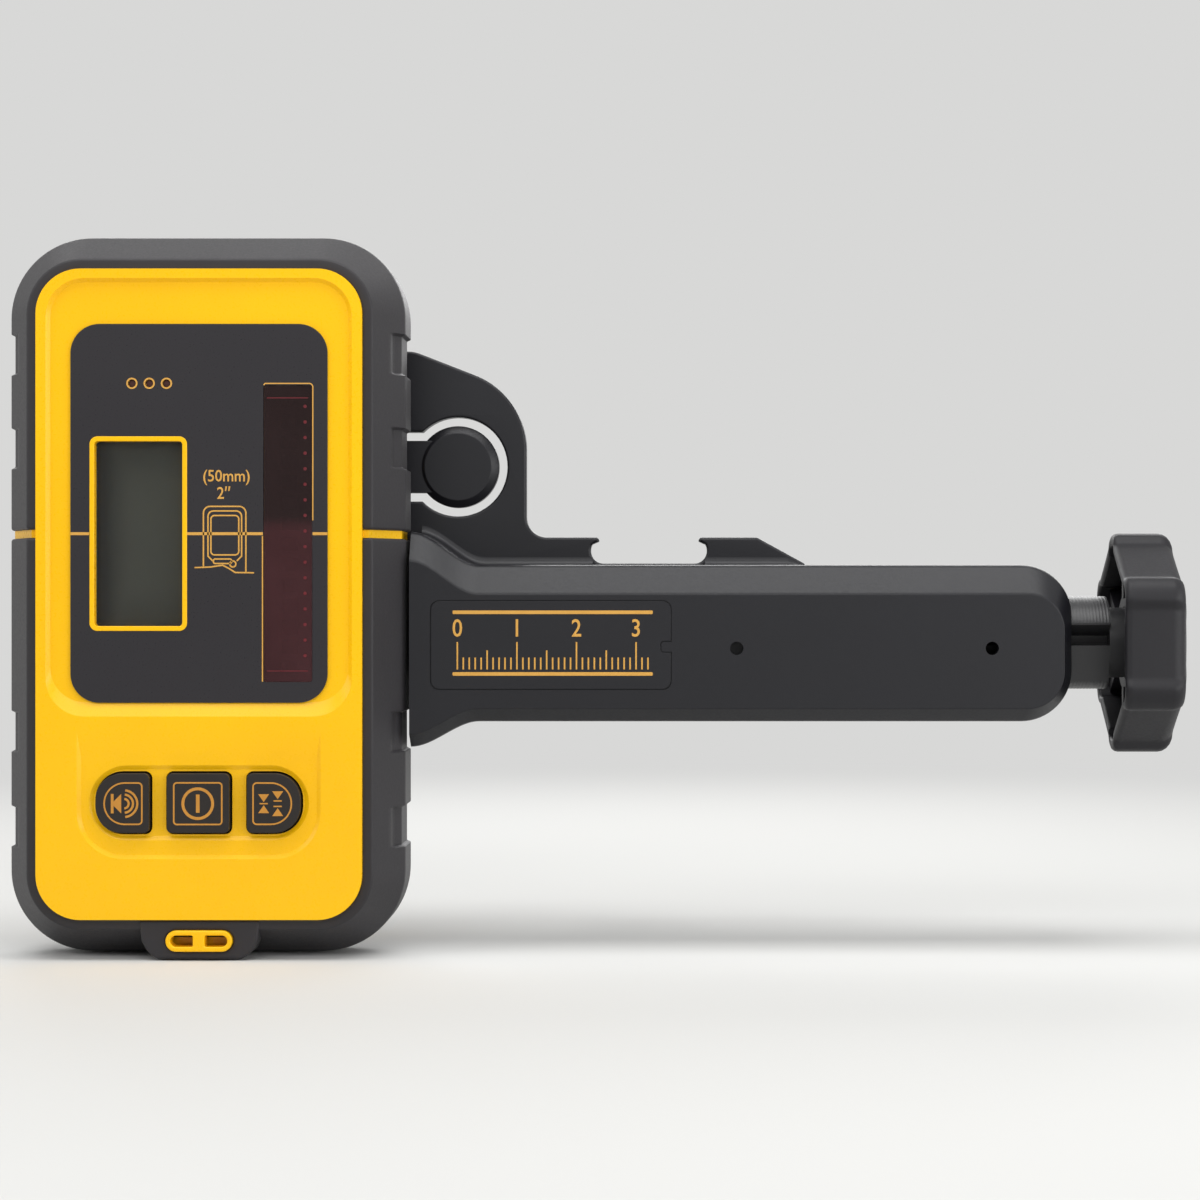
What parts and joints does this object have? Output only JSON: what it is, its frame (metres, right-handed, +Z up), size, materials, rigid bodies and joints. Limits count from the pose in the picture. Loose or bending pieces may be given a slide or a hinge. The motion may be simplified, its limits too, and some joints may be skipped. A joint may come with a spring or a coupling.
{
  "type": "laser receiver with rod clamp",
  "caption": "Handheld laser receiver with display, detector window and keypad, latched on a bracket whose knob-driven jaw clamps a grade rod.",
  "frame": {"origin": "middle of the fixed jaw pad's flat face, where the grade rod seats", "axes": "+X along the clamp arm from the receiver to the knob, +Y away from the viewer towards the jaw tips, +Z up"},
  "size_m": [0.1981, 0.0553, 0.1203],
  "materials": {
    "case_plastic": "fine-textured yellow moulding",
    "bumper_rubber": "satin charcoal overmould",
    "seal_rubber": "black seal",
    "fastener_steel": "plated steel",
    "panel_film": "dark printed film",
    "clear_lens": "clear acrylic",
    "display_glass": "unlit liquid crystal display",
    "red_filter": "dark red filter",
    "circuit_board": "solder mask",
    "chip_plastic": "moulded component",
    "key_rubber": "soft matte key",
    "battery_sleeve": "plain sleeve",
    "door_plastic": "fine-textured dark moulding",
    "clamp_plastic": "fine-textured charcoal moulding",
    "screw_plastic": "smooth charcoal moulding",
    "pad_rubber": "black grip rubber"
  },
  "bodies": {
    "clamp": {"clamp_frame": "clamp_plastic", "label_plate": "panel_film", "fixed_jaw_pad": "pad_rubber"},
    "receiver": {"front_case": "case_plastic", "rear_case": "case_plastic", "upper_bumper": "bumper_rubber", "lower_bumper": "bumper_rubber", "case_seal": "seal_rubber", "case_screws": "fastener_steel", "face_panel": "panel_film", "lcd_frame": "case_plastic", "lcd_lens": "clear_lens", "lcd_glass": "display_glass", "detector_window": "red_filter", "detector_board": "circuit_board", "photodiodes": "chip_plastic", "main_board": "circuit_board", "board_parts": "chip_plastic", "buzzer": "chip_plastic", "key_mat": "key_rubber", "key_domes": "fastener_steel", "lanyard_loop": "case_plastic", "battery": "battery_sleeve", "battery_snap": "chip_plastic", "door_pin": "fastener_steel", "door_seal": "seal_rubber"},
    "latch": {"latch_tab": "clamp_plastic", "latch_catch": "clamp_plastic"},
    "left_key": {"sound_key": "key_rubber"},
    "middle_key": {"power_key": "key_rubber"},
    "right_key": {"accuracy_key": "key_rubber"},
    "door": {"battery_door": "door_plastic"},
    "jaw": {"moving_jaw": "clamp_plastic", "moving_jaw_pad": "pad_rubber", "screw_clip": "fastener_steel"},
    "knob": {"clamp_screw": "screw_plastic", "clamp_knob": "clamp_plastic", "knob_screw": "fastener_steel"}
  },
  "joints": [
    {"name": "receiver_slide", "type": "slide", "parent": "clamp", "child": "receiver", "axis": [-1, 0, 0], "range_m": [0, 0.062], "deforming": ["latch_catch"]},
    {"name": "latch_press", "type": "hinge", "parent": "clamp", "child": "latch", "pos_m": [-0.06335, -0.01405, 0.03058], "axis": [0, 0, 1], "range_deg": [0, 5], "stiffness_Nm_per_rad": 1.5},
    {"name": "jaw_slide", "type": "slide", "parent": "clamp", "child": "jaw", "axis": [1, 0, 0], "range_m": [-0.00401, 0.03601]},
    {"name": "knob_turn", "type": "hinge", "parent": "jaw", "child": "knob", "pos_m": [0.0873, -0.0234, 0], "axis": [1, 0, 0], "range_deg": [-360, 3240]},
    {"name": "sound_press", "type": "slide", "parent": "receiver", "child": "left_key", "axis": [0, 1, 0], "range_m": [0, 0.0006], "stiffness_N_per_m": 500},
    {"name": "power_press", "type": "slide", "parent": "receiver", "child": "middle_key", "axis": [0, 1, 0], "range_m": [0, 0.0006], "stiffness_N_per_m": 500},
    {"name": "accuracy_press", "type": "slide", "parent": "receiver", "child": "right_key", "axis": [0, 1, 0], "range_m": [0, 0.0006], "stiffness_N_per_m": 500},
    {"name": "door_open", "type": "hinge", "parent": "receiver", "child": "door", "pos_m": [-0.0584, -0.0177, -0.04235], "axis": [-1, 0, 0], "range_deg": [0, 95]}
  ],
  "couplings": [
    {"joint": "jaw_slide", "follows": "knob_turn", "m_per_rad": 0.00063662}
  ]
}
